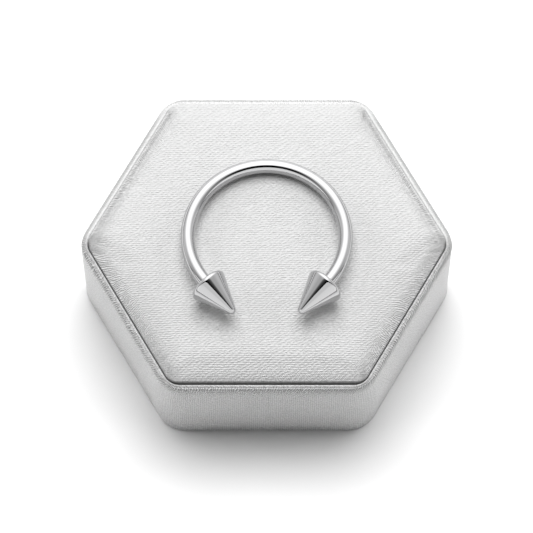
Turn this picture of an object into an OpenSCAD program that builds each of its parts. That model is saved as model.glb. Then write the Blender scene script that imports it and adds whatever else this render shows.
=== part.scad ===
// Horseshoe barbell with two screw-on cone ends, lying on a padded hexagonal display stand.
// Millimetres. Origin on the ground under the middle of the stand, +Z up, the mouth of the bar
// towards -Y. The bar touches the pad at the back of its arc and on the rims of both cones.

/* [Bar] */
// Diameter of the wire, 14 gauge
wire_d = 1.6; // [1.3:0.1:2]
// Clear diameter inside the arc
inner_d = 16; // [14:0.5:18]
// Half of the mouth, from the middle of the front to each end of the arc, in degrees
mouth_half = 49.5; // [42:0.5:60]
// Diameter over the thread of the post on each end
post_d = 1.2; // [0.9:0.05:1.2]
// Length of each threaded post
post_l = 2.2; // [1.6:0.1:2.5]
// Distance from one thread crest to the next
thread_pitch = 0.35; // [0.25:0.05:0.45]
// Depth of the thread
thread_depth = 0.09; // [0.05:0.01:0.12]
// How far the middle of the arc lies behind the middle of the stand
bar_back = -0.15; // [-1:0.05:1]

/* [Cones] */
// Largest diameter of a cone
cone_d = 4.4; // [3.8:0.1:5]
// Length of a cone along its axis
cone_l = 4.75; // [4.2:0.05:6]
// Radius of the blunt tip
tip_r = 0.5; // [0.25:0.05:0.6]
// Radius of the rounded rim at the base
rim_r = 0.4; // [0.2:0.05:0.5]
// Play between the post and the hole, on the radius
thread_play = 0.03; // [0.02:0.01:0.05]
// Empty depth left beyond the end of the post
hole_spare = 0.3; // [0.1:0.1:0.5]

/* [Stand] */
// Width between the left and right corners, before they are rounded
stand_w = 42.7; // [38:0.1:50]
// Length of the front and back sides, before their corners are rounded
side_l = 22.5; // [18:0.1:24]
// Height of the rim above the ground
stand_h = 14.2; // [8:0.1:25]
// Radius of the six upright corners
corner_r = 3.8; // [2:0.1:5]
// How much faster than at the sides the corners tighten up over the rim to the seam
corner_tighten = 2.3; // [1:0.1:2.5]
// How fast the corners widen again from the seam over the pad
corner_widen = 0.8; // [0:0.1:1.5]
// How far the padded sides swell out between their edges
side_puff = 0.12; // [0.02:0.02:0.4]
// Radius of the lower edge
foot_r = 0.2; // [0.2:0.1:1.5]
// Width of the rim from the side to the seam
rim_w = 0.7; // [0.5:0.05:1.2]
// Depth of the recess that holds the pad, below the rim
recess_d = 1.2; // [0.8:0.1:3]

/* [Pad] */
// Gap in the seam between the rim and the pad
seam_gap = 0.14; // [0.06:0.02:0.2]
// Height of the pad's flat top above the rim
pad_rise = 0.9; // [0.3:0.05:1.5]
// Width of the band where the pad rolls down to the seam
roll_w = 2.2; // [1.2:0.1:3]
// Gap left between pieces that rest on each other
rest_gap = 0.05; // [0.02:0.01:0.1]

/* [Hidden] */
$fn = 96;

steel_colour = "#b9bbbe";
fabric_colour = "#dcdcda";

wire_r = wire_d / 2;
arc_r = (inner_d + wire_d) / 2;
cone_r = cone_d / 2;
post_r = post_d / 2;
hole_r = post_r + thread_play;
hole_l = post_l + hole_spare;

// The bar leans on the backs of the arc and of the two cone rims, so the cones lift its front
pad_top = stand_h + pad_rise;
lean = asin((cone_r - wire_r) / (arc_r * (1 + cos(mouth_half)) + rim_r * sin(mouth_half)));
arc_z = pad_top + rest_gap + wire_r + arc_r * sin(lean);

// Steps in an arc of each profile
arc_steps = 6;

// Cone profile, as [radius, distance from the base]. The flank is the line that touches
// both the rounded rim and the round tip.
flank_run = cone_l - tip_r - rim_r;
flank_drop = cone_r - rim_r;
flank_angle = atan2(flank_drop, flank_run) + asin((rim_r - tip_r) / norm([flank_run, flank_drop]));
hole_mouth = 0.1;

function arc_points(centre, r, from, to) = [
    for (i = [0:arc_steps])
        let (a = from + (to - from) * i / arc_steps)
        centre + r * [cos(a), sin(a)]
];

cone_profile = concat(
    [[hole_r + hole_mouth, 0]],
    arc_points([cone_r - rim_r, rim_r], rim_r, -90, flank_angle),
    arc_points([0, cone_l - tip_r], tip_r, flank_angle, 90),
    [[0, hole_l + hole_r / 2], [hole_r, hole_l], [hole_r, hole_mouth]]
);

// Post profile: a plain neck, thread crests and roots by turns, and a bevelled end
post_root = post_r - thread_depth;
post_neck = 0.25;
post_set_in = 0.2;
thread_turns = floor((post_l - post_neck - thread_depth) / thread_pitch);
post_profile = concat(
    [[0, -post_set_in], [post_r, -post_set_in], [post_r, post_neck]],
    [for (i = [0:thread_turns - 1]) each [
        [post_root, post_neck + (i + 0.5) * thread_pitch],
        [post_r, post_neck + (i + 1) * thread_pitch]
    ]],
    [[post_root, post_l], [0, post_l]]
);

// Plan of the stand: all six corners turn by 60 degrees, with the outer ones on the X axis
half_w = stand_w / 2;
half_side = side_l / 2;
half_depth = (half_w - half_side) * tan(60);
sharp_corners = [
    [half_w, 0], [half_side, half_depth], [-half_side, half_depth],
    [-half_w, 0], [-half_side, -half_depth], [half_side, -half_depth]
];
corner_steps = 6;
corner_min = 0.3;
section_points = 6 * (corner_steps + 1);

// One rounded hexagon, with its sides moved in by inset from the largest one
function hexagon(inset, tighten) = [
    for (k = [0:5])
        let (
            tight_r = corner_r - min(inset, pad_edge) * tighten,
            r = max(tight_r, corner_min) + max(inset - pad_edge, 0) * corner_widen,
            middle = sharp_corners[k] - (inset + r) / cos(30) * [cos(60 * k), sin(60 * k)]
        )
        for (i = [0:corner_steps])
            let (a = 60 * k - 30 + 60 * i / corner_steps)
            middle + r * [cos(a), sin(a)]
];

// Solid through a list of [inset, height] sections, closed by its first and last ones
module loft(sections) {
    n = section_points;
    last = len(sections) - 1;
    points = [
        for (s = sections)
            for (p = hexagon(s[0], s[1] > side_high ? corner_tighten : 1))
                [p[0], p[1], s[1]]
    ];
    walls = [
        for (i = [0:last - 1], j = [0:n - 1])
            let (next = (j + 1) % n)
            [i * n + j, (i + 1) * n + j, (i + 1) * n + next, i * n + next]
    ];
    bottom = [for (j = [0:n - 1]) j];
    top = [for (j = [0:n - 1]) last * n + n - 1 - j];
    polyhedron(points = points, faces = concat([bottom], walls, [top]), convexity = 4);
}

// Base: foot, padded side, rounded rim and recess, all as [inset, height]
crest_share = 0.7;
crest_w = rim_w * crest_share;
crest_h = rim_w * 1.2;
inner_r = rim_w - crest_w;
side_low = foot_r;
side_high = stand_h - crest_h;
foot_sections = [for (a = [0:22.5:90]) [foot_r * (1 - sin(a)), foot_r * (1 - cos(a))]];
puff_sections = [for (s = [0.15, 0.3, 0.5, 0.7, 0.85])
    [-side_puff * sin(180 * s), side_low + (side_high - side_low) * s]];
crest_sections = [for (a = [0:22.5:90]) [crest_w * (1 - cos(a)), stand_h - crest_h * (1 - sin(a))]];
seam_sections = [for (a = [30:30:90])
    [crest_w + inner_r * sin(a), stand_h - inner_r * (1 - cos(a))]];
recess_sections = [[rim_w, stand_h - recess_d]];
base_outline = concat(foot_sections, puff_sections, crest_sections, seam_sections, recess_sections);
base_sections = [for (s = base_outline) [s[0] + side_puff, s[1]]];

// Roll of the pad's top towards the seam: [share of the roll's width, share of the pad's rise]
roll_across = 0;
roll_up = 1;
roll = [
    [0, 0],
    [0.03, 0.25],
    [0.09, 0.45],
    [0.2, 0.63],
    [0.38, 0.8],
    [0.6, 0.92],
    [0.8, 0.98],
    [1, 1]
];

pad_edge = side_puff + rim_w + seam_gap;
pad_bottom = stand_h - recess_d + rest_gap;
pad_bevel = 0.2;
pad_sections = concat(
    [[pad_edge + pad_bevel, pad_bottom], [pad_edge, pad_bottom + pad_bevel]],
    [for (row = roll) [pad_edge + roll_w * row[roll_across], stand_h + pad_rise * row[roll_up]]]
);

// Places children in the plane of the arc, with the arc's middle at their origin
module in_arc_plane() {
    translate([0, bar_back, arc_z]) rotate([-lean, 0, 0]) children();
}

// Places children at one end of the arc, pointing out of the wire. side is -1 on the left, 1 on the right
module at_wire_end(side) {
    translate([side * arc_r * sin(mouth_half), -arc_r * cos(mouth_half), 0])
        rotate([0, 90, -90 - side * (90 - mouth_half)])
            children();
}

module threaded_post() {
    rotate_extrude() polygon(post_profile);
}

module cone() {
    rotate_extrude() polygon(cone_profile);
}

// The bent wire with a threaded post on each end, one solid
module ring_bar() {
    color(steel_colour) in_arc_plane() {
        rotate([0, 0, mouth_half - 90])
            rotate_extrude(angle = 360 - 2 * mouth_half)
                translate([arc_r, 0]) circle(r = wire_r);
        for (side = [-1, 1]) at_wire_end(side) threaded_post();
    }
}

module left_cone() {
    color(steel_colour) in_arc_plane() at_wire_end(-1) cone();
}

module right_cone() {
    color(steel_colour) in_arc_plane() at_wire_end(1) cone();
}

// The block wrapped in fabric, with the recess for the pad in its top
module stand_base() {
    color(fabric_colour) loft(base_sections);
}

// The padded top in its recess
module stand_pad() {
    color(fabric_colour) loft(pad_sections);
}

ring_bar();
left_cone();
right_cone();
stand_base();
stand_pad();
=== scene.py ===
import math

import bmesh
import bpy
import numpy as np
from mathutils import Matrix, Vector, noise
from mathutils.geometry import delaunay_2d_cdt
from mathutils.kdtree import KDTree


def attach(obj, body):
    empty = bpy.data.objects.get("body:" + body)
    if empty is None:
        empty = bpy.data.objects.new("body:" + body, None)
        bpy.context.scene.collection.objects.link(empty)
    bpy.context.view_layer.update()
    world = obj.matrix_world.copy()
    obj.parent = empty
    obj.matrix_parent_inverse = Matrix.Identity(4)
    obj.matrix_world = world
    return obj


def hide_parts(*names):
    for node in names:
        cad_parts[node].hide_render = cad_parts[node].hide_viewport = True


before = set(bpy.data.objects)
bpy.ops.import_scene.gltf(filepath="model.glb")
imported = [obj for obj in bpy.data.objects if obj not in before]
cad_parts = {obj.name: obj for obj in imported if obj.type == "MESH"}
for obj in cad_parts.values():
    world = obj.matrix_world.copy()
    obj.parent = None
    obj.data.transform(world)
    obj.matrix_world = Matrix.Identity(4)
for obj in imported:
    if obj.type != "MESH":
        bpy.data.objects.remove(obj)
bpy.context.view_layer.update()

# All sizes below are millimetres unless a note says otherwise; meshes are made in metres.
mm = 0.001             # in metres
turn = 2 * math.pi
tiny = 1e-9            # keeps a length that is divided by above 0
scene = bpy.context.scene
print("frame loaded:", ", ".join(sorted(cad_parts)))


class Wire:
    # one output of a node; sums written with it become Math nodes
    def __init__(self, sheet, socket):
        self.sheet, self.socket = sheet, socket

    def maths(self, operation, *values):
        return self.sheet.node("Math", {"operation": operation}, dict(enumerate(values)))

    def __add__(self, other):
        return self.maths("ADD", self, other)

    __radd__ = __add__

    def __sub__(self, other):
        return self.maths("SUBTRACT", self, other)

    def __rsub__(self, other):
        return self.maths("SUBTRACT", other, self)

    def __mul__(self, other):
        return self.maths("MULTIPLY", self, other)

    __rmul__ = __mul__

    def __truediv__(self, other):
        return self.maths("DIVIDE", self, other)

    def __neg__(self):
        return self.maths("MULTIPLY", self, -1.0)

    def __abs__(self):
        return self.maths("ABSOLUTE", self)

    def sine(self):
        return self.maths("SINE", self)

    def ramp(self, low, high):
        # 0 below low, 1 above high, smooth between them
        settings = {"interpolation_type": "SMOOTHSTEP"}
        return self.sheet.node("MapRange", settings, {"Value": self, "From Min": low, "From Max": high})


class Sheet:
    # a node tree that is filled by calls
    def __init__(self, tree):
        self.tree = tree
        tree.nodes.clear()

    def node(self, kind, settings=None, inputs=None, output=0):
        made = self.tree.nodes.new("ShaderNode" + kind)
        for name, value in (settings or {}).items():
            if name == "stops":
                self.fillRamp(made.color_ramp, value)
            else:
                setattr(made, name, value)
        for name, value in (inputs or {}).items():
            socket = made.inputs[name]
            if isinstance(value, Wire):
                self.tree.links.new(value.socket, socket)
            else:
                socket.default_value = value
        return Wire(self, made.outputs[output])

    def fillRamp(self, ramp, stops):
        # stops are (place, brightness), both from 0 to 1
        ramp.interpolation = "LINEAR"
        while len(ramp.elements) < len(stops):
            ramp.elements.new(1.0)
        for element, (place, value) in zip(ramp.elements, stops):
            element.position = place
            element.color = (value, value, value, 1.0)

    def parts(self, vector):
        # the three components of a vector
        split = self.node("SeparateXYZ", None, {"Vector": vector}).socket.node
        return [Wire(self, split.outputs[axis]) for axis in "XYZ"]

    def finish(self, kind, surface):
        out = self.tree.nodes.new("ShaderNodeOutput" + kind)
        self.tree.links.new(surface.socket, out.inputs["Surface"])


def newMaterial(name):
    material = bpy.data.materials.new(name)
    material.use_nodes = True
    return material, Sheet(material.node_tree)


def finishMaterial(sheet, inputs):
    sheet.finish("Material", sheet.node("BsdfPrincipled", None, inputs))


def makePiece(name, points, faces, material, sharpFrom=None):
    # points in mm; faces are lists of point numbers
    mesh = bpy.data.meshes.new(name)
    mesh.from_pydata((np.asarray(points, float) * mm).tolist(), [], faces)
    mesh.update()
    shell = bmesh.new()
    shell.from_mesh(mesh)
    bmesh.ops.recalc_face_normals(shell, faces=shell.faces)
    shell.to_mesh(mesh)
    shell.free()
    mesh.shade_smooth()
    if sharpFrom:
        mesh.set_sharp_from_angle(angle=math.radians(sharpFrom))
    mesh.materials.append(material)
    piece = bpy.data.objects.new(name, mesh)
    scene.collection.objects.link(piece)
    return piece


def bands(rows, columns):
    # quads between rows of points that close on themselves
    faces = []
    for row in range(rows - 1):
        start, above = row * columns, (row + 1) * columns
        for column in range(columns):
            beside = (column + 1) % columns
            faces.append((start + column, start + beside, above + beside, above + column))
    return faces


def tube(stations, columns):
    # a closed tube through stations of (centre, across, up, radius or one radius for each column)
    angle = np.arange(columns) * turn / columns
    rows = []
    for centre, across, up, radius in stations:
        ring = np.cos(angle)[:, None] * across + np.sin(angle)[:, None] * up
        rows.append(centre + ring * np.broadcast_to(radius, columns)[:, None])
    points = np.concatenate(rows)
    faces = bands(len(rows), columns)
    for ring, centre in ((0, stations[0][0]), (len(rows) - 1, stations[-1][0])):
        middle = len(points)
        points = np.vstack([points, centre])
        for column in range(columns):
            faces.append((ring * columns + column, ring * columns + (column + 1) % columns, middle))
    return points, faces


steel = {
    "colour": (0.55, 0.55, 0.555, 1.0), "roughness": 0.03,
    "smear": 0.03, "smearSize": 2.5, "smearReach": (0.5, 0.75),      # the roughness that wiping marks add
    "scratch": 0.5, "scratchDepth": 0.00004, "scratchScale": 9000.0,
    "sharpFrom": 38,                                                 # degrees
}


def polishedSteel(name, look):
    material, sheet = newMaterial(name)
    place = sheet.node("TexCoord", output="Object")
    smear = sheet.node("TexNoise", None, {
        "Vector": place, "Scale": 1 / (look["smearSize"] * mm), "Detail": 3.0,
    })
    fine = sheet.node("TexNoise", None, {"Vector": place, "Scale": look["scratchScale"], "Detail": 2.0})
    bump = sheet.node("Bump", None, {
        "Strength": look["scratch"], "Distance": look["scratchDepth"] * mm, "Height": fine,
    })
    finishMaterial(sheet, {
        "Base Color": look["colour"], "Metallic": 1.0, "Normal": bump,
        "Roughness": look["roughness"] + look["smear"] * smear.ramp(*look["smearReach"]),
    })
    return material


steelFinish = polishedSteel("polishedSteel", steel)

bar = {
    "wire": 1.6, "inside": 16.0, "mouthHalf": 49.5, "back": -0.15,
    "columns": 64, "arcSteps": 220, "endBevel": 0.06, "bevelSteps": 4,
    "post": 1.2, "postLength": 2.2, "neck": 0.25, "neckFillet": 0.03, "postBevel": 0.12,
    "pitch": 0.35, "threadDepth": 0.09, "stepsInPitch": 18,
    "threadFlat": 0.15, "threadStart": 0.6,              # shares of the pitch
}
cone = {
    "wide": 4.4, "long": 4.75, "tip": 0.5, "rim": 0.4,
    "columns": 144, "roundSteps": 14, "flankSteps": 24, "rimInset": 0.1,
    "holePlay": 0.03, "holeSpare": 0.3, "mouthBevel": 0.1,
    "grooveDepth": 0.07, "grooveStart": 0.1, "grooveEnd": 0.05, "stepsInPitch": 14,
    "holeTight": 0.01,                                   # how far the groove's lands stand into the hole
    "closedAt": 0.004,                                   # radius of the first and the last ring
}
wireRadius = bar["wire"] / 2
arcRadius = (bar["inside"] + bar["wire"]) / 2
padTop, restGap = 15.1, 0.05
mouth = math.radians(bar["mouthHalf"])
lean = math.asin((cone["wide"] / 2 - wireRadius)
                 / (arcRadius * (1 + math.cos(mouth)) + cone["rim"] * math.sin(mouth)))
arcHeight = padTop + restGap + wireRadius + arcRadius * math.sin(lean)


def leaned(vector):
    # turns a direction in the plane of the arc to the way the bar lies
    x, y, z = vector
    return np.array([x, y * math.cos(lean) + z * math.sin(lean), z * math.cos(lean) - y * math.sin(lean)])


def onBar(point):
    return leaned(point) + np.array([0, bar["back"], arcHeight])


def wireEnd(side):
    # where the wire stops, and the ways out of it, across it and up; side is -1 on the left, 1 on the right
    place = onBar((side * arcRadius * math.sin(mouth), -arcRadius * math.cos(mouth), 0))
    out = leaned((-side * math.cos(mouth), -math.sin(mouth), 0))
    return place, out, leaned((side * math.sin(mouth), -math.cos(mouth), 0)), leaned((0, 0, 1))


def screwRadius(height, angle, root, crest, hand):
    # a right-hand thread's radius at each angle, with narrow flats on its roots and crests
    flat = bar["threadFlat"]
    phase = np.mod(height / bar["pitch"] - hand * angle / turn, 1)
    ridge = np.clip((1 - np.abs(2 * phase - 1) - flat) / (1 - 2 * flat), 0, 1)
    return root + (crest - root) * ridge


def postStations(side):
    # from the end of the wire out to the end of the threaded post
    place, out, across, up = wireEnd(side)
    angle = np.arange(bar["columns"]) * turn / bar["columns"]
    crest, root = bar["post"] / 2, bar["post"] / 2 - bar["threadDepth"]
    rows = []
    for step in range(bar["bevelSteps"] + 1):
        a = step / bar["bevelSteps"] * math.pi / 2
        inset = bar["endBevel"] * (1 - math.cos(a))
        rows.append((-bar["endBevel"] * (1 - math.sin(a)), wireRadius - inset))
    rows += [(0.0, crest + bar["neckFillet"]), (bar["neckFillet"], crest), (bar["neck"], crest)]
    steps = round((bar["postLength"] - bar["neck"]) / bar["pitch"] * bar["stepsInPitch"])
    for step in range(1, steps + 1):
        height = bar["neck"] + (bar["postLength"] - bar["neck"]) * step / steps
        start = min(1.0, (height - bar["neck"]) / (bar["threadStart"] * bar["pitch"]))
        radius = crest + (screwRadius(height, angle, root, crest, side) - crest) * start
        over = max(0.0, height - bar["postLength"] + bar["postBevel"])
        rows.append((height, np.minimum(radius, crest - over * bar["threadDepth"] / bar["postBevel"])))
    return [(place + out * height, across, up, radius) for height, radius in rows]


def makeBar():
    stations = postStations(-1)[::-1]
    start, end = math.radians(270 - bar["mouthHalf"]), math.radians(bar["mouthHalf"] - 90)
    for step in range(1, bar["arcSteps"]):
        a = start + (end - start) * step / bar["arcSteps"]
        across = leaned((math.cos(a), math.sin(a), 0))
        stations.append((onBar((arcRadius * math.cos(a), arcRadius * math.sin(a), 0)), across,
                         leaned((0, 0, 1)), wireRadius))
    stations += postStations(1)
    points, faces = tube(stations, bar["columns"])
    return makePiece("bentBar", points, faces, steelFinish, steel["sharpFrom"])


def makeCone(name, side):
    # from the bottom of the threaded hole out to its mouth, then over the rim and the flank to the tip
    place, out, across, up = wireEnd(side)
    rim, tip, wide, long = cone["rim"], cone["tip"], cone["wide"] / 2, cone["long"]
    run, drop = long - tip - rim, wide - rim
    flank = math.atan2(drop, run) + math.asin((rim - tip) / math.hypot(run, drop))
    hole = bar["post"] / 2 + cone["holePlay"]
    holeLong = bar["postLength"] + cone["holeSpare"]
    angle = np.arange(cone["columns"]) * turn / cone["columns"]

    rows = [(holeLong + hole / 2, cone["closedAt"])]
    steps = round((holeLong - cone["mouthBevel"]) / bar["pitch"] * cone["stepsInPitch"])
    for step in range(steps + 1):
        height = holeLong + (cone["mouthBevel"] - holeLong) * step / steps
        groove = screwRadius(height, angle, 0, cone["grooveDepth"], side)
        start = min(1.0, (holeLong - height) / cone["grooveStart"])
        end = min(1.0, (height - cone["mouthBevel"]) / cone["grooveEnd"])
        rows.append((height, hole - cone["holeTight"] + groove * (start * end)))
    rows += [(0.0, hole + cone["mouthBevel"]), (0.0, wide - rim - cone["rimInset"])]
    for step in range(cone["roundSteps"] + 1):
        a = -math.pi / 2 + (flank + math.pi / 2) * step / cone["roundSteps"]
        rows.append((rim + rim * math.sin(a), wide - rim + rim * math.cos(a)))
    foot = rows[-1]
    top = (long - tip + tip * math.sin(flank), tip * math.cos(flank))
    for step in range(1, cone["flankSteps"]):
        rows.append(tuple(foot[k] + (top[k] - foot[k]) * step / cone["flankSteps"] for k in (0, 1)))
    for step in range(cone["roundSteps"] + 1):
        a = flank + (math.pi / 2 - flank) * step / cone["roundSteps"]
        rows.append((long - tip + tip * math.sin(a), max(tip * math.cos(a), cone["closedAt"])))
    stations = [(place + out * height, across, up, radius) for height, radius in rows]
    points, faces = tube(stations, cone["columns"])
    return makePiece(name, points, faces, steelFinish, steel["sharpFrom"])


barPiece = makeBar()
leftCone = makeCone("leftSpike", -1)
rightCone = makeCone("rightSpike", 1)
print("steel made")


# The satin of the pad. A pair named From, To or Reach is two distances between which something fades: from
# the seam over the pad, or from the fold over the sides, with the seam below 0.
satin = {
    "colour": (0.585, 0.585, 0.585, 1.0), "metallic": 0.3, "roughness": 0.46,
    "sheen": 0.08, "sheenRoughness": 0.35,
    "ribPitch": 0.254, "ribHeight": 0.0085,                    # from rib to rib, and half their height
    "cellWide": 0.65, "cellDeep": 0.505, "cellHeight": 0.011,  # the crepe pattern that the ribs bend round
    "rising": 0.5,                                             # how much stronger its rising diagonal is
    "wander": 0.3, "wanderLong": 1.5, "wanderDeep": 0.7,       # how the ribs stray, in pitches
    "drift": 1.1, "driftSize": 1.1,                            # the same for the crepe cells
    "grain": 0.034, "grainLong": 0.36, "grainDeep": 0.16,
    "valleyShade": 0.15, "mottle": 0.03, "mottleSize": 5.0,
    "gapShade": 0.4, "gapReach": (0.02, 0.3),                  # painted shade this far down in the seam
    "strokePitch": 0.22, "strokeHeight": 0.03, "strokeShade": 0.05, "strokeSlant": 0.3,
    "strokeStray": (0.45, 0.25),                               # by the drift and by the wander
    "strokeUneven": (0.9, 0.6),                                # the least strength, and what the noises add
    "strokeFrom": (-0.1, 0.1), "strokeReach": (0.3, 2.3), "ribsLost": 0.3,
    "smooth": 0.8, "smoothReach": (-1.0, -0.5), "smoothLost": 0.7,
    "rim": None,
}
# the satin of the sides is coarser, and gets painted shade where it turns over the rim or folds down to the
# seam
sideLook = {
    **satin, "colour": (0.76, 0.76, 0.76, 1.0), "ribPitch": 0.235, "ribHeight": 0.022, "cellHeight": 0.018,
    "grain": 0.12, "grainLong": 0.42, "grainDeep": 0.14, "valleyShade": 0.3,
    "strokePitch": 0.26, "strokeHeight": 0.055, "strokeShade": 0.09, "strokeSlant": 0.45,
    "strokeFrom": (0.1, 0.4), "strokeReach": (1.0, 3.0), "smoothReach": (0.6, 1.8),
    "rim": {
        "turn": 0.44, "turnFrom": (0.1, 0.35), "turnTo": (0.9, 2.0), "turnGathered": 0.8, "turnBack": 0.85,
        "fold": 0.17, "foldTo": (0.3, 1.6), "foldFront": 0.65, "lip": 0.75, "lipTo": (0.3, 0.7),
        "ends": (0.014, 0.017),                                # metres to the front or the back
    },
}


def rimShade(sheet, look, away, drawn):
    # Painted shade where the satin turns over the rim, less of it where it is gathered and at the back. Also
    # painted shade where the gathers start at the fold: at the sides, at the front mostly on a narrow lip,
    # not at the back.
    _, y, _ = sheet.parts(sheet.node("TexCoord", output="Object"))
    atBack, atFront = y.ramp(*look["ends"]), (-y).ramp(*look["ends"])
    turned = away.ramp(*look["turnFrom"]) * (1.0 - away.ramp(*look["turnTo"]))
    turned = turned * (1.0 - look["turnGathered"] * drawn) * (1.0 - look["turnBack"] * atBack)
    folded = (1.0 - away.ramp(*look["foldTo"])) * (1.0 - atBack - look["foldFront"] * atFront)
    lip = atFront * (1.0 - away.ramp(*look["lipTo"]))
    return 1.0 - look["turn"] * turned - look["fold"] * (drawn * (folded + look["lip"] * lip))


def satinCloth(name, look):
    # Ribbed crepe satin, laid out by the weave attribute: its first number runs across the ribs. The seam
    # attribute has the distances along the seam and away from it, and how much the satin is gathered there.
    material, sheet = newMaterial(name)
    y, x, _ = sheet.parts(sheet.node("Attribute", {"attribute_name": "weave"}, output="Vector"))
    along, away, drawn = sheet.parts(sheet.node("Attribute", {"attribute_name": "seam"}, output="Vector"))

    def flatNoise(long, deep, detail=1.0, shift=0.0):
        # the shift keeps this noise apart from the others
        spot = sheet.node("CombineXYZ", None, {"X": x / long + shift, "Y": y / deep + shift})
        settings = {"noise_dimensions": "2D"}
        return sheet.node("TexNoise", settings, {"Vector": spot, "Scale": 1.0, "Detail": detail})

    wander = flatNoise(look["wanderLong"], look["wanderDeep"]) - 0.5
    drift = flatNoise(look["driftSize"], look["driftSize"], shift=31.7) - 0.5
    grain = flatNoise(look["grainLong"], look["grainDeep"], detail=2.0, shift=7.3) - 0.5
    rib = ((y / look["ribPitch"] + 2 * look["wander"] * wander) * turn).sine()
    xCell = x / look["cellWide"] + look["drift"] * drift
    yCell = y / look["cellDeep"] + look["drift"] * wander
    cell = ((xCell - yCell) * turn).sine() * (0.5 + 0.5 * look["rising"])
    cell = cell + ((xCell + yCell) * turn).sine() * (0.5 - 0.5 * look["rising"])

    # beside the seam the ribs give way to uneven gathers, or are stretched smooth where nothing is gathered
    byDrift, byWander = look["strokeStray"]
    least, added = look["strokeUneven"]
    bent = along + look["strokeSlant"] * away + byDrift * drift + byWander * wander
    stroke = (bent * (turn / look["strokePitch"])).sine() * (least + added * abs(drift + wander))
    near = 1.0 - away.ramp(*look["strokeReach"])
    stretched = (1.0 - away.ramp(*look["smoothReach"])) * (1.0 - look["smoothLost"] * drawn)
    height = look["ribHeight"] * (1.0 - look["ribsLost"] * near) * rib + look["cellHeight"] * cell
    height = (height + look["grain"] * grain) * (1.0 - look["smooth"] * stretched)
    stroke = stroke * near * drawn * away.ramp(*look["strokeFrom"])
    height = height + look["strokeHeight"] * stroke

    # painted shade in the weave's valleys; the mottle is the satin's own uneven tone
    high = (height / (look["ribHeight"] + look["cellHeight"])).ramp(-1.0, 1.0)
    broad = flatNoise(look["mottleSize"], look["mottleSize"], detail=2.0, shift=3.1)
    shade = 1.0 - look["valleyShade"] * (1.0 - high) + look["mottle"] * (broad - 0.5)
    # painted shade down in the seam, where the slot gets little light
    shade = shade * (1.0 - look["gapShade"] * (-away).ramp(*look["gapReach"]))
    # painted shade over the rim's turn, along the fold and on the front lip
    if look["rim"]:
        shade = shade * rimShade(sheet, look["rim"], away, drawn)
    # painted shade and light along the gathers' folds
    shade = shade + look["strokeShade"] * stroke
    tone = sheet.node("Mix", {"data_type": "RGBA", "blend_type": "MULTIPLY"},
                      {"Factor": 1.0, "A": look["colour"], "B": shade}, output=2)
    bump = sheet.node("Bump", None, {"Strength": 1.0, "Distance": mm, "Height": height})
    finishMaterial(sheet, {
        "Base Color": tone, "Metallic": look["metallic"], "Roughness": look["roughness"], "Normal": bump,
        "Sheen Weight": look["sheen"], "Sheen Roughness": look["sheenRoughness"],
    })
    return material


padSatin = satinCloth("padSatin", satin)
sideSatin = satinCloth("sideSatin", sideLook)

# In stand and pad a list of pairs gives a value by which way a side faces, from -1 at the front to 1 at the
# back. The three shapes between crest and recess are pairs of a share of the rim's width and a height.
stand = {
    "width": 42.7, "sideLength": 22.5, "height": 14.2, "corner": 3.8,
    "puff": 0.12, "foot": 0.2, "rim": 0.7, "recess": 1.2, "tighten": 2.3, "tightenFrom": 1.2,
    "cornerSteps": 44, "sideSteps": 220,
    "footSteps": 6, "wallSteps": 14, "crestSteps": 11, "recessSteps": 3,
    "crestWide": 0.3, "crestHigh": 0.8,                        # shares of the rim
    "crestDip": 0.03, "fold": 0.025, "groove": 0.085,          # the sharp fold at the seam, and its groove
    "grooveShape": [(0.33, 0.5), (0.37, 0.85), (0.42, 1.0), (0.47, 0.9), (0.52, 0.55), (0.57, 0.1)],
    "foldShape": [(0.63, 0.6), (0.7, 1.0), (0.78, 1.0), (0.85, 0.7)],
    "edgeShape": [(0.9, -0.02), (0.95, -0.08), (0.99, -0.2)],
    "recessFrom": 0.32,                                        # below the rim
    "foldOver": 0.5,                                           # share of the rim over which these set in
    "foldIn": [(-1.0, 0.04), (-0.5, 0.07), (-0.1, 0.07), (0.2, 0.13), (0.5, 0.13), (1.0, -0.02)],
    "foldUp": [(-0.3, 0.0), (0.25, 0.24), (0.6, 0.24), (1.0, 0.0)], "foldUpReach": 1.5,
    "seamDeep": [(-0.3, 1.0), (0.1, 0.1), (1.0, 0.1)],         # 1 where open, near 0 where shut
    "shutDeep": 0.5, "shutShare": 0.8, "shutMost": 0.15,
    "bulge": [(-0.5, 0.0), (0.0, 0.1), (0.4, 0.02), (0.5, 0.02), (1.0, 0.12)],
    "bulgeFrom": 2.0, "bulgeOver": 8.0,                        # up from this height, and over how much
    "gathered": [(-0.4, 1.0), (0.0, 0.5), (0.3, 0.15), (0.6, 0.15), (1.0, 0.5)],
    "pucker": 0.022, "puckerReach": 1.2, "puckerFrom": -0.4, "puckerOver": 0.3,
    "fine": 0.65, "coarse": 0.55, "waveSeeds": (11, 12),
    "slack": 0.04, "slackSize": 6.0, "slackSeed": 3.0, "slackMiddle": 0.3,
    "slackFoot": (0.4, 1.5), "slackTop": (0.8, 2.0),           # how far it keeps off, and over how much
    "voxel": 0.6, "pressure": 1.0, "mostSwell": 0.12, "startIn": 0.08,
    "heldFoot": 0.4, "heldTop": 0.6, "heldRecess": 2.2, "heldSeam": -1.0,
}
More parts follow.
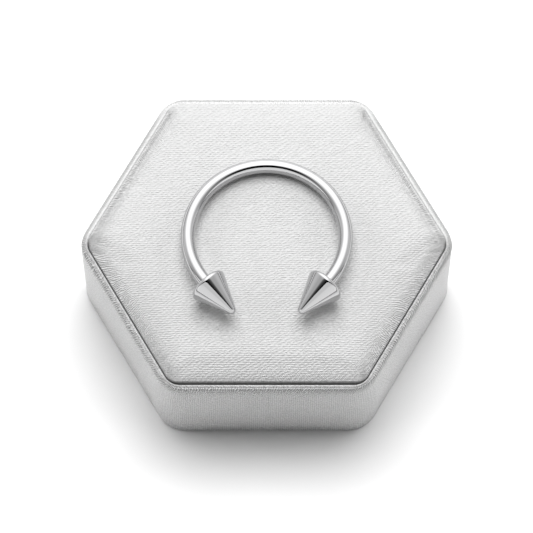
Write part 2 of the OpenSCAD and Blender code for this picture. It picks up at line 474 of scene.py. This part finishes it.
pad = {
    "seam": 0.14, "widen": 0.8, "level": 0.82, "drop": 0.75, "crown": 2.1, "blend": 0.8,
    "bevel": 0.2, "bevelHalf": 0.06, "skirtTop": 0.6,
    "ringSteps": 25, "ringWide": 4.5, "latticeStep": 0.3, "latticeGap": 0.6, "weld": 1e-5,
    # the edge moves in at the front and out at the back, sags, dips just inside, and rolls into the seam
    "out": [(-1.0, -0.16), (-0.6, 0.0), (0.5, 0.0), (1.0, 0.14)], "outReach": 1.2,
    "sag": [(-0.2, 0.92), (0.3, 0.42), (0.55, 0.42), (1.0, 0.45)],
    "dip": [(-0.2, 0.0), (0.2, 0.3), (0.55, 0.3), (0.9, 0.0)], "dipIn": 0.6, "dipWide": 0.32,
    "rollDrop": [(-1.0, 0.28), (-0.5, 0.18), (-0.2, 0.18), (0.3, 0.02), (0.55, 0.02), (1.0, 0.07)],
    "rollWide": [(-1.0, 0.16), (-0.5, 0.15), (0.55, 0.2), (1.0, 0.4)],
    "rollSquare": [(-0.2, 0.5), (0.3, 1.0)],
    "gathered": [(-1.0, 0.3), (-0.7, 1.0), (-0.4, 1.0), (0.3, 0.6), (0.6, 0.5), (1.0, 0.1)],
    "pucker": 0.03, "puckerReach": 1.5, "puckerRise": 0.4, "puckerLeast": 0.05,
    "fine": 0.6, "coarse": 0.6, "waveSeeds": (21, 22),
    "voxel": 0.5, "pressure": 4.0, "mostSwell": 0.07,
    "heldBelow": 0.2, "looseFrom": 0.2, "looseOver": 2.5,
}
fineWaves, coarseWaves = (0.3, 0.9), (1.2, 4.0)                # shortest and longest gathers in the mesh
halfWidth, halfSide = stand["width"] / 2, stand["sideLength"] / 2
halfDepth = (halfWidth - halfSide) * math.tan(math.pi / 3)
sharpCorners = [(halfWidth, 0), (halfSide, halfDepth), (-halfSide, halfDepth),
                (-halfWidth, 0), (-halfSide, -halfDepth), (halfSide, -halfDepth)]
seamInset = stand["puff"] + stand["rim"] + pad["seam"]


def smooth(share):
    return share * share * (3 - 2 * share)


def cornerArc(k, inset, radius):
    # a rounded corner: the bearing it points to, the way there, and the middle of its arc
    bearing = k * math.pi / 3
    out = np.array([math.cos(bearing), math.sin(bearing)])
    return bearing, out, np.array(sharpCorners[k]) - (inset + radius) / math.cos(math.pi / 6) * out


def outline(inset, radius):
    # one turn round the stand's plan with rounded corners, moved in by inset
    arcs = []
    for k in range(6):
        bearing, _, middle = cornerArc(k, inset, radius)
        a = bearing + (np.arange(stand["cornerSteps"] + 1) / stand["cornerSteps"] - 0.5) * math.pi / 3
        arcs.append(middle + radius * np.stack([np.cos(a), np.sin(a)], 1))
    points = []
    for k in range(6):
        points.append(arcs[k])
        share = np.arange(1, stand["sideSteps"]) / stand["sideSteps"]
        points.append(arcs[k][-1] + (arcs[(k + 1) % 6][0] - arcs[k][-1]) * share[:, None])
    return np.concatenate(points)


edgeLine = outline(0, stand["corner"])
aroundCount = len(edgeLine)
innerLine = outline(0.5, stand["corner"] - 0.5)                     # any small step in shows the way
inward = innerLine - edgeLine
inward /= np.linalg.norm(inward, axis=1, keepdims=True)
stepLengths = np.linalg.norm(np.roll(edgeLine, -1, 0) - edgeLine, axis=1)
alongEdge = np.concatenate([[0], np.cumsum(stepLengths)])
edgeLength = alongEdge[-1]


def gathers(seed, shortest, longest):
    # a random profile round the edge with waves between two lengths, the same each run
    waves = np.fft.rfft(np.random.default_rng(seed).normal(size=aroundCount))
    length = edgeLength / np.maximum(np.arange(len(waves)), 0.5)     # the mean counts as half a wave
    waves[(length < shortest) | (length > longest)] = 0
    profile = np.fft.irfft(waves, aroundCount)
    return profile / np.abs(profile).max()


def unevenWaves(look):
    fine, coarse = look["waveSeeds"]
    return look["fine"] * gathers(fine, *fineWaves) + look["coarse"] * gathers(coarse, *coarseWaves)


def byFacing(table):
    return np.interp(-inward[:, 1], *zip(*table))


def seamDistances(points):
    # how far points lie inside each of the pad's six straight seams
    bearings = (np.arange(6) + 0.5) * math.pi / 3
    out = np.stack([np.cos(bearings), np.sin(bearings)])
    reach = (np.array(sharpCorners) * out.T).sum(1) - seamInset
    return reach - points[..., :2] @ out


def seamDistance(points):
    return seamDistances(points).min(-1)


def pushOut(grid, amount):
    # moves a grid of rows round the stand along its own normals
    around = np.roll(grid, -1, 1) - np.roll(grid, 1, 1)
    down = np.gradient(grid, axis=0)
    normal = np.cross(around, down)
    normal /= np.maximum(np.linalg.norm(normal, axis=2, keepdims=True), tiny)
    outward = np.sum(normal * grid * np.array([1, 1, 0]), 2).sum()
    return grid + normal * (amount * math.copysign(1, outward))[:, :, None]


def lift(sections):
    # the corners tighten up over the rim to the seam, and widen again over the pad
    above = stand["height"] - stand["tightenFrom"] * stand["rim"]
    rows = []
    for inset, height in sections:
        radius = stand["corner"] - min(inset, seamInset) * (stand["tighten"] if height > above else 1.0)
        plan = outline(inset, radius + max(inset - seamInset, 0) * pad["widen"])
        rows.append(np.column_stack([plan, np.full(aroundCount, height)]))
    return np.stack(rows)


def softNoise(points, size, seed):
    return np.array([noise.noise(Vector(p) / size + Vector((seed, 0, 0))) for p in points.reshape(-1, 3)])


def meshPoints(mesh):
    flat = np.empty(len(mesh.vertices) * 3)
    mesh.vertices.foreach_get("co", flat)
    return flat.reshape(-1, 3)


cloth = {
    "enlarge": 20,                                                   # the solver gets a larger copy
    "steps": 20, "quality": 5, "mass": 0.3, "stretch": 15.0, "shear": 5.0, "bend": 0.5,
    "neighbours": 8,                                                 # that a fine point follows
}


def swell(points, faces, held, look):
    # blows an even copy of the form up as cloth, and returns how far each point then moves
    size = mm * cloth["enlarge"]
    mesh = bpy.data.meshes.new("clothForm")
    mesh.from_pydata((points * size).tolist(), [], faces)
    form = bpy.data.objects.new("clothForm", mesh)
    scene.collection.objects.link(form)
    remesh = form.modifiers.new("even", "REMESH")
    remesh.mode, remesh.voxel_size = "VOXEL", look["voxel"] * size
    graph = bpy.context.evaluated_depsgraph_get()
    form.data = bpy.data.meshes.new_from_object(form.evaluated_get(graph))
    form.modifiers.clear()
    rest = meshPoints(form.data) / size
    pins = form.vertex_groups.new(name="held")
    pins.add(np.flatnonzero(held(rest)).tolist(), 1.0, "REPLACE")
    modifier = form.modifiers.new("swelling", "CLOTH")
    how = modifier.settings
    how.quality, how.mass = cloth["quality"], cloth["mass"]
    how.tension_stiffness = how.compression_stiffness = cloth["stretch"]
    how.shear_stiffness, how.bending_stiffness = cloth["shear"], cloth["bend"]
    how.use_pressure, how.uniform_pressure_force = True, look["pressure"]
    how.effector_weights.gravity = 0
    how.vertex_group_mass = "held"
    modifier.point_cache.frame_start, modifier.point_cache.frame_end = 1, cloth["steps"]
    for step in range(1, cloth["steps"] + 1):
        scene.frame_set(step)
    graph = bpy.context.evaluated_depsgraph_get()
    move = meshPoints(form.evaluated_get(graph).data) / size - rest
    scene.frame_set(1)
    bpy.data.objects.remove(form)

    # no point moves further than the cap, and each fine point follows its neighbours on the copy
    length = np.linalg.norm(move, axis=1, keepdims=True)
    move *= look["mostSwell"] * np.tanh(length / look["mostSwell"]) / np.maximum(length, tiny)
    tree = KDTree(len(rest))
    for i, point in enumerate(rest):
        tree.insert(point, i)
    tree.balance()
    result = np.empty_like(points)
    for i, point in enumerate(points):
        _, which, distance = zip(*tree.find_n(point, cloth["neighbours"]))
        weight = np.exp(-np.array(distance) ** 2 / look["voxel"] ** 2) + tiny
        result[i] = weight @ move[list(which)] / weight.sum()
    furthest = float(np.linalg.norm(move, axis=1).max())
    print("  cloth:", len(rest), "points, moved up to", round(furthest, 3), "mm")
    return result


def layOut(piece, name, across, down, strength=None):
    # two lengths and a strength for each corner of a face; the first may wrap round the stand's edge
    count = len(piece.data.loops)
    corner = np.empty(count, int)
    piece.data.loops.foreach_get("vertex_index", corner)
    face = np.empty(count, int)
    for polygon in piece.data.polygons:
        face[polygon.loop_start:polygon.loop_start + polygon.loop_total] = polygon.index
    values = np.zeros((count, 3), np.float32)
    values[:, 0], values[:, 1] = across[corner], down[corner]
    if strength is not None:
        values[:, 2] = strength[corner]
    furthest = np.full(len(piece.data.polygons), -np.inf)
    np.maximum.at(furthest, face, values[:, 0])
    values[:, 0] += edgeLength * (furthest[face] - values[:, 0] > edgeLength / 2)
    piece.data.attributes.new(name, "FLOAT_VECTOR", "CORNER").data.foreach_set("vector", values.ravel())


def baseSections():
    # [inset, height] from the foot up the padded side, over the rim and down into the recess
    top, foot, rim = stand["height"], stand["foot"], stand["rim"]
    crestWide, crestHigh, dip = rim * stand["crestWide"], rim * stand["crestHigh"], stand["crestDip"]
    rows = []
    for a in np.linspace(0, math.pi / 2, stand["footSteps"] + 1):
        rows.append((foot * (1 - math.sin(a)), foot * (1 - math.cos(a))))
    low, high = foot, top - crestHigh
    for s in np.linspace(0, 1, stand["wallSteps"] + 1)[1:-1]:
        rows.append(((stand["startIn"] - stand["puff"]) * math.sin(math.pi * s), low + (high - low) * s))
    crestRow = len(rows)
    for a in np.linspace(0, math.pi / 2, stand["crestSteps"] + 1):
        rows.append((crestWide * (1 - math.cos(a)), top - dip - (crestHigh - dip) * (1 - math.sin(a))))
    shapes = (("grooveShape", -stand["groove"]), ("foldShape", stand["fold"]), ("edgeShape", 1.0))
    for shape, full in shapes:
        rows += [(rim * share, top + height * full) for share, height in stand[shape]]
    start = stand["recessFrom"]
    for s in np.linspace(0, 1, stand["recessSteps"] + 1):
        rows.append((rim, top - start + (start - stand["recess"]) * s))
    return [(inset + stand["puff"], height) for inset, height in rows], crestRow


def makeBase():
    sections, crestRow = baseSections()
    grid = lift(sections)
    rows = len(sections)
    insets, heights = np.array(sections).T
    foldRow = int(heights.argmax())

    # the seam is open at the front and nearly shut further back, the fold leans in and rises beside it, and
    # the walls bulge a little at the left and right corners and at the back
    share = np.clip((insets - stand["puff"]) / (stand["foldOver"] * stand["rim"]), 0, 1)
    share *= np.arange(rows) >= crestRow
    wall = np.clip((grid[:, 0, 2] - stand["bulgeFrom"]) / stand["bulgeOver"], 0, 1) * (1 - share)
    drop = heights.max() - heights
    inner = (np.arange(rows) > foldRow) & (drop < stand["shutDeep"])
    shut = inner * np.minimum(stand["shutShare"] * drop, stand["shutMost"])
    rise = share * np.clip(stand["foldUpReach"] - drop, 0, 1)
    moveIn = share[:, None] * byFacing(stand["foldIn"]) - wall[:, None] * byFacing(stand["bulge"])
    grid[:, :, 2] += shut[:, None] * (1 - byFacing(stand["seamDeep"]))
    grid[:, :, 2] += rise[:, None] * byFacing(stand["foldUp"])
    grid[:, :, :2] += moveIn[:, :, None] * inward

    steps = np.linalg.norm(np.diff(np.array(sections), axis=0), axis=1)
    along = np.concatenate([[0], np.cumsum(steps)])
    below = along[foldRow] - along
    faces = bands(rows, aroundCount)
    faces.append(tuple(range(aroundCount)))
    faces.append(tuple((rows - 1) * aroundCount + i for i in range(aroundCount)))

    def held(points):
        level = points[:, 2]
        onTop = level > stand["height"] - stand["heldTop"]
        inRecess = level > stand["height"] - stand["heldRecess"]
        inRecess &= seamDistance(points) > stand["heldSeam"]
        return (level < stand["heldFoot"]) | onTop | inRecess

    grid += swell(grid.reshape(-1, 3), faces, held, stand).reshape(grid.shape)

    # the gathers fade out away from the fold, and some slack lies over the sides
    fade = np.exp(-np.maximum(below, 0) / stand["puckerReach"])
    fade *= np.clip((below - stand["puckerFrom"]) / stand["puckerOver"], 0, 1)
    push = stand["pucker"] * fade[:, None] * unevenWaves(stand)
    height = grid[:, :, 2]
    (fromFoot, overFoot), (fromTop, overTop) = stand["slackFoot"], stand["slackTop"]
    sides = np.clip((height - fromFoot) / overFoot, 0, 1)
    sides = sides * np.clip((stand["height"] - fromTop - height) / overTop, 0, 1)
    slack = softNoise(grid, stand["slackSize"], stand["slackSeed"]).reshape(grid.shape[:2])
    push = push + stand["slack"] * sides * (slack - stand["slackMiddle"])
    grid = pushOut(grid, push)
    grid[:, :, 2] = np.clip(grid[:, :, 2], 0, None)
    grid[0, :, 2] = 0
    piece = makePiece("baseWrap", grid.reshape(-1, 3), faces, sideSatin)
    reach = np.tile(alongEdge[:-1], rows)
    down = np.repeat(below, aroundCount)
    layOut(piece, "weave", reach, down)
    layOut(piece, "seam", reach, down, np.tile(byFacing(stand["gathered"]), rows))
    return piece


def padHeights(inset, points):
    # heights of rings of points at distances in from the seam: rolled over steeply at the front, sloping
    # gently down to the seam at the back
    inset = np.maximum(inset, 0)[:, None]
    share = smooth(np.clip(inset / inset[-1], 0, 1))
    near = byFacing(pad["sag"]) * np.exp(-inset / pad["crown"])
    crown = near + share * (padCrown(softDistance(points)) - near)
    over = 1 - (1 - np.clip(inset / byFacing(pad["rollWide"]), 0, 1)) ** 2
    roll = byFacing(pad["rollDrop"]) * (1 - over ** byFacing(pad["rollSquare"]))
    dip = byFacing(pad["dip"]) * np.exp(-((inset - pad["dipIn"]) / pad["dipWide"]) ** 2)
    return pad["level"] - crown - dip - roll


def padCrown(inset):
    return pad["drop"] * np.exp(-inset / pad["crown"])


def softDistance(points):
    # how far points lie inside the seams, with the creases between the sides smoothed out
    nearness = np.exp(-seamDistances(points) / pad["blend"]).sum(-1)
    return -pad["blend"] * np.log(nearness)


def latticeInside():
    # an even triangle lattice, kept inside the pad's last ring and its rounded corners
    step, wide = pad["latticeStep"], pad["ringWide"]
    gap = pad["latticeGap"] * step
    lattice = []
    for row, y in enumerate(np.arange(-halfDepth, halfDepth, step * math.sin(math.pi / 3))):
        for x in np.arange(-halfWidth, halfWidth, step) + (row % 2) * step / 2:
            lattice.append((x, y))
    lattice = np.array(lattice)
    lattice = lattice[seamDistance(lattice) > wide + gap]
    radius = stand["corner"] - seamInset * stand["tighten"] + wide * pad["widen"]
    for k in range(6):
        _, out, middle = cornerArc(k, seamInset + wide, radius)
        arm = lattice - middle
        reach = np.linalg.norm(arm, axis=1)
        lattice = lattice[(reach < radius - gap) | (arm @ out < reach * math.cos(math.pi / 6))]
    return lattice


def fillMiddle(border, start):
    # the points inside the last ring and the faces there; the ring's own points are numbered from start
    flat = np.vstack([border[:, :2], latticeInside()])
    edges = [(i, (i + 1) % aroundCount) for i in range(aroundCount)]
    places, _, faces, origin, *_ = delaunay_2d_cdt([Vector(p) for p in flat], edges, [], 1, pad["weld"])
    number, inside = [], []
    for place, sources in zip(places, origin):
        if sources and sources[0] < aroundCount:
            number.append(start + sources[0])
        else:
            number.append(start + aroundCount + len(inside))
            inside.append((*place, 0))
    inside = np.array(inside)
    inside[:, 2] = stand["height"] + pad["level"] - padCrown(softDistance(inside))
    return inside, [tuple(number[i] for i in face) for face in faces]


def makePad():
    # rings from the underside up the skirt in the recess, and in over the roll
    edge, bevel, half = seamInset, pad["bevel"], pad["bevelHalf"]
    bottom = stand["height"] - stand["recess"] + restGap
    rows = [(edge + bevel, bottom), (edge + half, bottom + half), (edge, bottom + bevel),
            (edge, bottom + pad["skirtTop"])]
    skirt = len(rows)
    for a in np.linspace(0, math.pi / 2, pad["ringSteps"]):
        rows.append((edge + pad["ringWide"] * (1 - math.cos(a)), stand["height"]))
    grid = lift(rows)
    inset = np.array([row[0] for row in rows]) - edge
    grid[skirt:, :, 2] += padHeights(inset[skirt:], grid[skirt:])
    moveOut = np.exp(-inset / pad["outReach"])[:, None] * byFacing(pad["out"])
    grid[:, :, :2] -= moveOut[:, :, None] * inward
    faces = bands(len(rows), aroundCount)
    faces.append(tuple(range(aroundCount)))
    ringCount = len(rows) * aroundCount
    middle, middleFaces = fillMiddle(grid[-1], ringCount - aroundCount)
    points = np.vstack([grid.reshape(-1, 3), middle])
    faces += middleFaces

    def held(points):
        return points[:, 2] < stand["height"] - pad["heldBelow"]

    loose = smooth(np.clip((seamDistance(points) - pad["looseFrom"]) / pad["looseOver"], 0, 1))
    points += swell(points, faces, held, pad) * loose[:, None]

    fade = np.exp(-inset / pad["puckerReach"]) * (np.arange(len(rows)) >= skirt)
    push = pad["pucker"] * fade * np.sqrt(np.clip(inset / pad["puckerRise"], pad["puckerLeast"], 1))
    rings = pushOut(points[:ringCount].reshape(grid.shape), push[:, None] * unevenWaves(pad))
    points[:ringCount] = rings.reshape(-1, 3)
    piece = makePiece("padCover", points, faces, padSatin)

    # on the skirt the way from the seam is down
    inset[:skirt] = [height - stand["height"] for _, height in rows[:skirt]]
    none = np.zeros(len(middle))
    away = np.concatenate([np.repeat(inset, aroundCount), seamDistance(middle)])
    reach = np.concatenate([np.tile(alongEdge[:-1], len(rows)), none])
    drawn = np.concatenate([np.tile(byFacing(pad["gathered"]), len(rows)), none])
    layOut(piece, "weave", points[:, 1], points[:, 0])
    layOut(piece, "seam", reach, away, drawn)
    return piece


basePiece = makeBase()
padPiece = makePad()
print("satin pieces made:", len(basePiece.data.polygons), len(padPiece.data.polygons), "faces")

for piece, node, body, slot in (
        (barPiece, "ring_bar", "bar_and_stand", "steel"),
        (leftCone, "left_cone", "cone_left", "steel"),
        (rightCone, "right_cone", "cone_right", "steel"),
        (basePiece, "stand_base", "bar_and_stand", "base_fabric"),
        (padPiece, "stand_pad", "bar_and_stand", "pad_fabric")):
    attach(piece, body)
    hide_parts(node)

floor = {
    "size": 4.0,                                                     # metres
    "colour": (0.95, 0.95, 0.95, 1.0), "grainColour": (0.91, 0.91, 0.91, 1.0), "grain": 0.04,
    "grainScale": 400.0, "roughness": 0.9, "specular": 0.1,
}


def makeFloor():
    half = floor["size"] / 2
    material, sheet = newMaterial("paleFloor")
    place = sheet.node("TexCoord", output="Object")
    grain = sheet.node("TexNoise", None, {"Vector": place, "Scale": floor["grainScale"], "Detail": 2.0})
    tone = sheet.node("Mix", {"data_type": "RGBA"}, {
        "Factor": grain * floor["grain"], "A": floor["colour"], "B": floor["grainColour"],
    }, output=2)
    finishMaterial(sheet, {
        "Base Color": tone, "Roughness": floor["roughness"], "Specular IOR Level": floor["specular"],
    })
    mesh = bpy.data.meshes.new("floor")
    corners = [(-half, -half, 0), (half, -half, 0), (half, half, 0), (-half, half, 0)]
    mesh.from_pydata(corners, [], [(0, 1, 2, 3)])
    mesh.materials.append(material)
    piece = bpy.data.objects.new("floor", mesh)
    scene.collection.objects.link(piece)


makeFloor()

# The steel and the gloss of the satin see the world: a broad white softbox over the back, a dark slot in
# front of it that the camera looks through, and grey reflectors round the rest. Each row has the degrees
# from straight up, forward positive, and the light there at three distances to the side. Everything matt is
# lit by soft lamps instead, each pair with its degrees forward and aside, its strength and its spread.
studio = {
    "scale": 2.5, "near": (0.05, 0.35), "far": (0.35, 0.72),
    "rows": [(-105, 0.4, 0.3, 0.2), (-85, 1.2, 1.0, 0.5), (-72, 1.7, 1.5, 0.7), (-58, 2.1, 1.9, 0.85),
             (-40, 2.2, 1.9, 0.85), (-25, 2.1, 1.7, 0.75), (-8, 2.0, 1.25, 0.6), (2, 1.7, 0.7, 0.48),
             (6, 0.0, 0.12, 0.4), (20, 0.0, 0.0, 0.36), (38, 0.0, 0.05, 0.36), (44, 0.15, 0.2, 0.3),
             (80, 0.2, 0.25, 0.3), (105, 0.8, 0.8, 0.7)],
    "key": {"forward": -22, "away": 550.0, "strength": 3.36, "spread": 47},
    "lamps": {"backs": (-45, 52, 1.5, 36), "sides": (0, 64, 1.45, 38)},
}
# a low reflector in front that only the steel sees: its near edge ends the dark slot in the cones
reflector = {"edge": (-19.8, 50.0), "wide": 400.0, "deep": 400.0, "light": 0.95}


def makeStudio():
    world = bpy.data.worlds.new("studio")
    world.use_nodes = True
    scene.world = world
    world.cycles_visibility.diffuse = False
    sheet = Sheet(world.node_tree)
    x, y, z = sheet.parts(sheet.node("TexCoord", output="Generated"))
    tilt = y.maths("ARCTAN2", -y, z) / turn + 0.5      # 0 to 1, with straight up at 0.5

    def acrossTilt(column):
        stops = [(row[0] / 360 + 0.5, row[column] / studio["scale"]) for row in studio["rows"]]
        return sheet.node("ValToRGB", {"stops": stops}, {"Fac": tilt}) * studio["scale"]

    light, aside = acrossTilt(1), abs(x)
    for column, (inside, outside) in ((2, studio["near"]), (3, studio["far"])):
        light = light + aside.ramp(inside, outside) * (acrossTilt(column) - light)
    light = light + sheet.node("LightPath", output="Is Camera Ray") * (1.0 - light)
    sheet.finish("World", sheet.node("Background", None, {"Color": light, "Strength": 1.0}))


def addLamp(name, kind):
    data = bpy.data.lights.new(name, kind)
    lamp = bpy.data.objects.new(name, data)
    scene.collection.objects.link(lamp)
    return lamp, data


def makeKey():
    # a round softbox near enough that the back of the stand gets more of it than the front
    how = studio["key"]
    half, away, tilted = math.radians(how["spread"] / 2), how["away"] * mm, math.radians(how["forward"])
    lamp, data = addLamp("key", "AREA")
    data.shape, data.size = "DISK", 2 * away * math.tan(half)
    data.energy = how["strength"] * math.pi * away ** 2 / math.cos(half) ** 2
    lamp.visible_glossy = lamp.visible_camera = False
    towards = Vector((0, -math.sin(tilted), math.cos(tilted)))
    lamp.location = towards * away
    lamp.rotation_euler = towards.to_track_quat("Z", "Y").to_euler()


def makeLamps():
    # each is a pair, one lamp on each side
    for name, (forward, aside, strength, spread) in studio["lamps"].items():
        for side in (-1, 1):
            lamp, data = addLamp(name, "SUN")
            data.energy, data.angle = strength / 2, math.radians(spread)
            lamp.visible_glossy = False
            a, b = math.radians(forward), math.radians(side * aside)
            towards = Vector((math.sin(b), -math.cos(b) * math.sin(a), math.cos(b) * math.cos(a)))
            lamp.rotation_euler = towards.to_track_quat("Z", "Y").to_euler()


def makeReflector():
    wide, deep = reflector["wide"] * mm, reflector["deep"] * mm
    lamp, data = addLamp("reflector", "AREA")
    data.shape, data.size, data.size_y = "RECTANGLE", wide, deep
    data.energy = reflector["light"] * math.pi * wide * deep
    y, z = reflector["edge"]
    lamp.location = (0, y * mm - deep / 2, z * mm)
    lamp.visible_camera = lamp.visible_diffuse = False
    seenBy = bpy.data.collections.new("seenByReflector")
    for piece in (barPiece, leftCone, rightCone):
        seenBy.objects.link(piece)
    lamp.light_linking.receiver_collection = seenBy


makeKey()
makeLamps()
makeReflector()
makeStudio()

# metres, and millimetres for the lens and its sensor
view = {
    "place": (-0.000031, -0.2134, 0.5914), "aim": (-0.000031, -0.002722, 0.0142),
    "lens": 371.5, "sensor": 36.0, "clip": (0.01, 20.0),
}


def makeCamera():
    data = bpy.data.cameras.new("camera")
    data.lens, data.sensor_width = view["lens"], view["sensor"]
    data.clip_start, data.clip_end = view["clip"]
    camera = bpy.data.objects.new("camera", data)
    scene.collection.objects.link(camera)
    camera.location = view["place"]
    towards = Vector(view["aim"]) - Vector(view["place"])
    camera.rotation_euler = towards.to_track_quat("-Z", "Y").to_euler()
    scene.camera = camera


makeCamera()
scene.view_settings.view_transform = "Standard"
print("studio and camera made")
